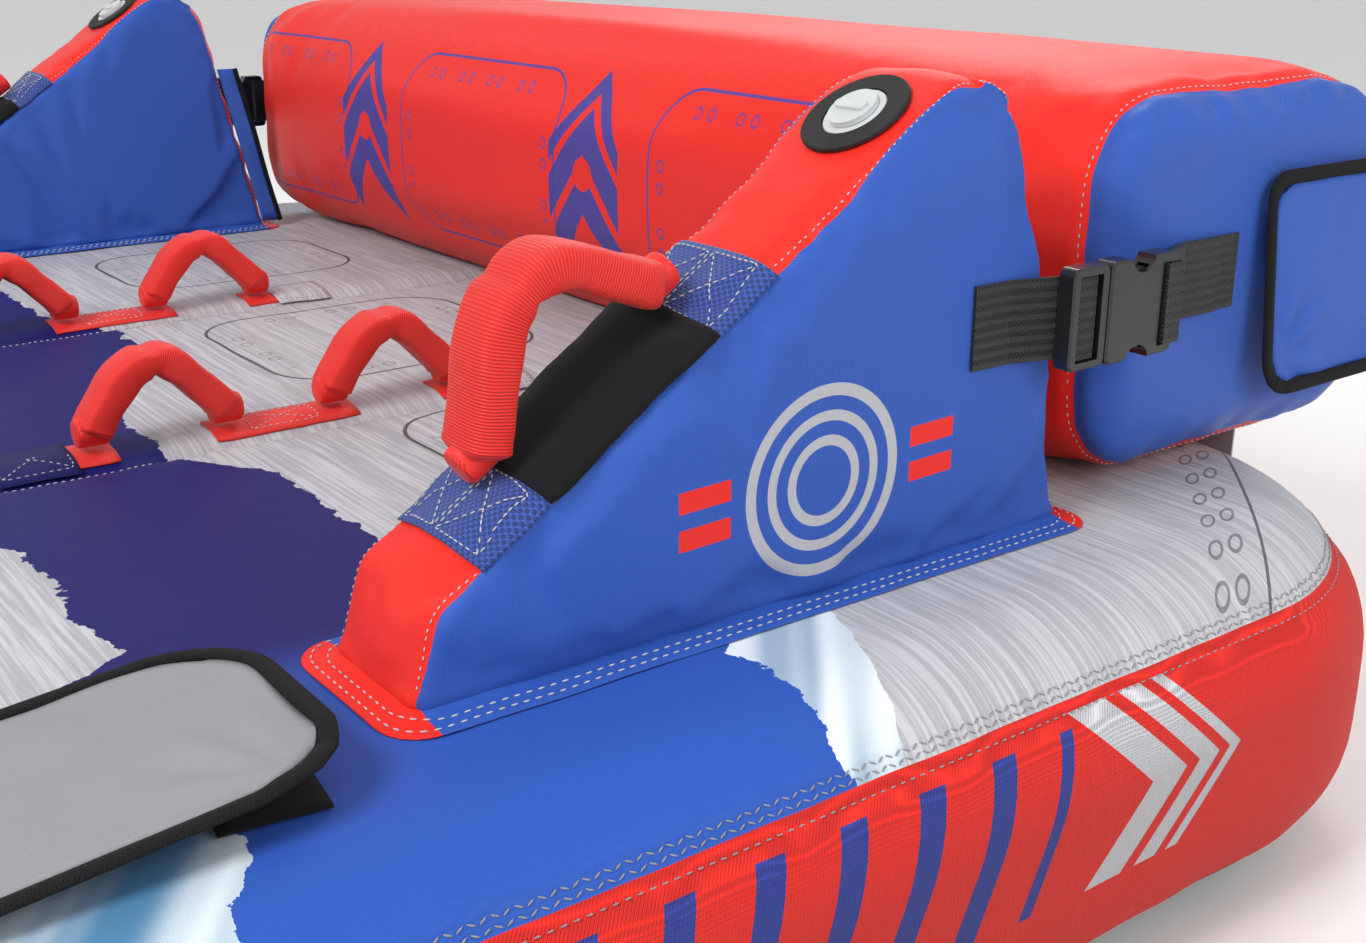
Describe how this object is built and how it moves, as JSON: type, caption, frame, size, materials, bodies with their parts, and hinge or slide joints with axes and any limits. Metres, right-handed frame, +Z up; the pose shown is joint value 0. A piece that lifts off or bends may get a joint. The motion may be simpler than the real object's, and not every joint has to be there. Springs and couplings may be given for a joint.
{
  "type": "towable tube",
  "caption": "Inflatable towable water tube: a broad air deck with padded loop handles, sloping side cushions with knuckle-pad handles, and a bolster backrest held on by buckled straps.",
  "frame": {"origin": "middle of the deck's flat underside, where the tube rests on a floor or the water", "axes": "+Z up, -Y towards the boat (the towed front), +X the rider's left"},
  "size_m": [1.68, 1.6175, 0.5249],
  "materials": {
    "red_nylon": "satin coated woven nylon",
    "blue_nylon": "satin coated woven nylon",
    "printed_nylon": "woven nylon with a printed brushed-metal pattern",
    "black_nylon": "coarse woven nylon",
    "bladder_vinyl": "welded vinyl sheet",
    "red_webbing": "ribbed nylon webbing",
    "foam": "closed-cell foam",
    "navy_webbing": "coarse basket-weave webbing",
    "patch_cloth": "coated nylon",
    "gray_cloth": "coated nylon",
    "black_binding": "folded grosgrain binding",
    "neoprene": "knit-faced neoprene",
    "black_webbing": "herringbone webbing",
    "black_plastic": "moulded acetal",
    "clear_valve": "translucent moulded vinyl",
    "zipper_plastic": "coil zipper",
    "steel": "welded stainless wire"
  },
  "bodies": {
    "tube": {"deck_top_panel": "printed_nylon", "deck_side_band": "red_nylon", "deck_bottom_panel": "black_nylon", "deck_bladder": "bladder_vinyl", "deck_handle_strips": "red_webbing", "deck_handle_patches": "patch_cloth", "deck_valve_body": "clear_valve", "deck_flap_hook_patch": "neoprene", "rear_web": "gray_cloth", "zipper_tape": "zipper_plastic", "tow_loop": "black_webbing", "cushion_webbing_bands": "navy_webbing", "cushion_knuckle_pads": "neoprene", "cushion_valve_rings": "black_plastic", "cushion_valve_bodies": "clear_valve", "cushion_closing_flaps": "blue_nylon", "cushion_straps": "black_webbing", "left_cushion_gusset": "red_nylon", "left_cushion_side_panels": "blue_nylon", "left_cushion_bladder": "bladder_vinyl", "left_buckle_male": "black_plastic", "right_cushion_gusset": "red_nylon", "right_cushion_side_panels": "blue_nylon", "right_cushion_bladder": "bladder_vinyl", "right_buckle_male": "black_plastic"},
    "backrest": {"backrest_sleeve": "red_nylon", "backrest_end_panels": "blue_nylon", "backrest_bladder": "bladder_vinyl", "backrest_valve_body": "clear_valve", "left_backrest_strap": "black_webbing", "left_buckle_female": "black_plastic", "right_backrest_strap": "black_webbing", "right_buckle_female": "black_plastic"},
    "backrest_flap": {"backrest_valve_flap": "blue_nylon", "backrest_valve_flap_binding": "black_binding"},
    "deck_flap": {"deck_valve_flap": "gray_cloth", "deck_valve_flap_binding": "black_binding"},
    "backrest_cap": {"backrest_valve_cap": "clear_valve"},
    "deck_cap": {"deck_valve_cap": "clear_valve"},
    "tow_ring": {"tow_ring": "steel"},
    "zipper_slider": {"zipper_slider": "zipper_plastic"},
    "grip_left_front": {"deck_grip_left_front_sleeve": "red_webbing", "deck_grip_left_front_core": "foam"},
    "grip_left_rear": {"deck_grip_left_rear_sleeve": "red_webbing", "deck_grip_left_rear_core": "foam"},
    "grip_right_front": {"deck_grip_right_front_sleeve": "red_webbing", "deck_grip_right_front_core": "foam"},
    "grip_right_rear": {"deck_grip_right_rear_sleeve": "red_webbing", "deck_grip_right_rear_core": "foam"},
    "left_handle": {"left_cushion_handle_sleeve": "red_webbing", "left_cushion_handle_core": "foam"},
    "left_cap": {"left_cushion_valve_cap": "clear_valve"},
    "left_arm_upper": {"left_latch_arm_upper": "black_plastic"},
    "left_arm_lower": {"left_latch_arm_lower": "black_plastic"},
    "right_handle": {"right_cushion_handle_sleeve": "red_webbing", "right_cushion_handle_core": "foam"},
    "right_cap": {"right_cushion_valve_cap": "clear_valve"},
    "right_arm_upper": {"right_latch_arm_upper": "black_plastic"},
    "right_arm_lower": {"right_latch_arm_lower": "black_plastic"}
  },
  "joints": [
    {"name": "backrest_unclip", "type": "slide", "parent": "tube", "child": "backrest", "axis": [0, 1, 0], "range_m": [0, 0.3]},
    {"name": "backrest_flap_hinge", "type": "hinge", "parent": "backrest", "child": "backrest_flap", "pos_m": [0.6836, 0.733, 0.442], "axis": [0, -1, 0], "range_deg": [0, 150], "stiffness_Nm_per_rad": 0.05},
    {"name": "deck_flap_hinge", "type": "hinge", "parent": "tube", "child": "deck_flap", "pos_m": [0.667, -0.256, 0.2436], "axis": [1, 0, 0], "range_deg": [0, 150]},
    {"name": "backrest_cap_turn", "type": "hinge", "parent": "backrest", "child": "backrest_cap", "pos_m": [0.68, 0.733, 0.367], "axis": [1, 0, 0], "range_deg": [0, 540]},
    {"name": "deck_cap_turn", "type": "hinge", "parent": "tube", "child": "deck_cap", "pos_m": [0.667, -0.151, 0.24], "axis": [0, 0, 1], "range_deg": [0, 540]},
    {"name": "tow_ring_swing", "type": "hinge", "parent": "tube", "child": "tow_ring", "pos_m": [0, -0.788, 0.122], "axis": [-1, 0, 0], "range_deg": [-20, 160]},
    {"name": "zipper_run", "type": "slide", "parent": "tube", "child": "zipper_slider", "axis": [-1, 0, 0], "range_m": [0, 0.7]},
    {"name": "grip_left_front_flop", "type": "hinge", "parent": "tube", "child": "grip_left_front", "pos_m": [0.175, 0.012, 0.2535], "axis": [0, 1, 0], "range_deg": [-55, 55], "stiffness_Nm_per_rad": 0.35},
    {"name": "grip_left_rear_flop", "type": "hinge", "parent": "tube", "child": "grip_left_rear", "pos_m": [0.175, 0.198, 0.2535], "axis": [0, 1, 0], "range_deg": [-55, 55], "stiffness_Nm_per_rad": 0.35},
    {"name": "grip_right_front_flop", "type": "hinge", "parent": "tube", "child": "grip_right_front", "pos_m": [-0.231, 0.012, 0.2535], "axis": [0, 1, 0], "range_deg": [-55, 55], "stiffness_Nm_per_rad": 0.35},
    {"name": "grip_right_rear_flop", "type": "hinge", "parent": "tube", "child": "grip_right_rear", "pos_m": [-0.231, 0.198, 0.2535], "axis": [0, 1, 0], "range_deg": [-55, 55], "stiffness_Nm_per_rad": 0.35},
    {"name": "left_handle_flop", "type": "hinge", "parent": "tube", "child": "left_handle", "pos_m": [0.6395, 0.06917, 0.34991], "axis": [0, 0.829, 0.5592], "range_deg": [-50, 50], "stiffness_Nm_per_rad": 0.35},
    {"name": "left_cap_turn", "type": "hinge", "parent": "tube", "child": "left_cap", "pos_m": [0.6395, 0.31909, 0.49978], "axis": [0, -0.5592, 0.829], "range_deg": [0, 540]},
    {"name": "left_latch_upper", "type": "hinge", "parent": "tube", "child": "left_arm_upper", "pos_m": [0.71, 0.4626, 0.397], "axis": [-1, 0, 0], "range_deg": [0, 6], "stiffness_Nm_per_rad": 0.3},
    {"name": "left_latch_lower", "type": "hinge", "parent": "tube", "child": "left_arm_lower", "pos_m": [0.71, 0.4626, 0.363], "axis": [1, 0, 0], "range_deg": [0, 6], "stiffness_Nm_per_rad": 0.3},
    {"name": "right_handle_flop", "type": "hinge", "parent": "tube", "child": "right_handle", "pos_m": [-0.6395, 0.06917, 0.34991], "axis": [0, 0.829, 0.5592], "range_deg": [-50, 50], "stiffness_Nm_per_rad": 0.35},
    {"name": "right_cap_turn", "type": "hinge", "parent": "tube", "child": "right_cap", "pos_m": [-0.6395, 0.31909, 0.49978], "axis": [0, -0.5592, 0.829], "range_deg": [0, 540]},
    {"name": "right_latch_upper", "type": "hinge", "parent": "tube", "child": "right_arm_upper", "pos_m": [-0.71, 0.4626, 0.397], "axis": [-1, 0, 0], "range_deg": [0, 6], "stiffness_Nm_per_rad": 0.3},
    {"name": "right_latch_lower", "type": "hinge", "parent": "tube", "child": "right_arm_lower", "pos_m": [-0.71, 0.4626, 0.363], "axis": [1, 0, 0], "range_deg": [0, 6], "stiffness_Nm_per_rad": 0.3}
  ]
}
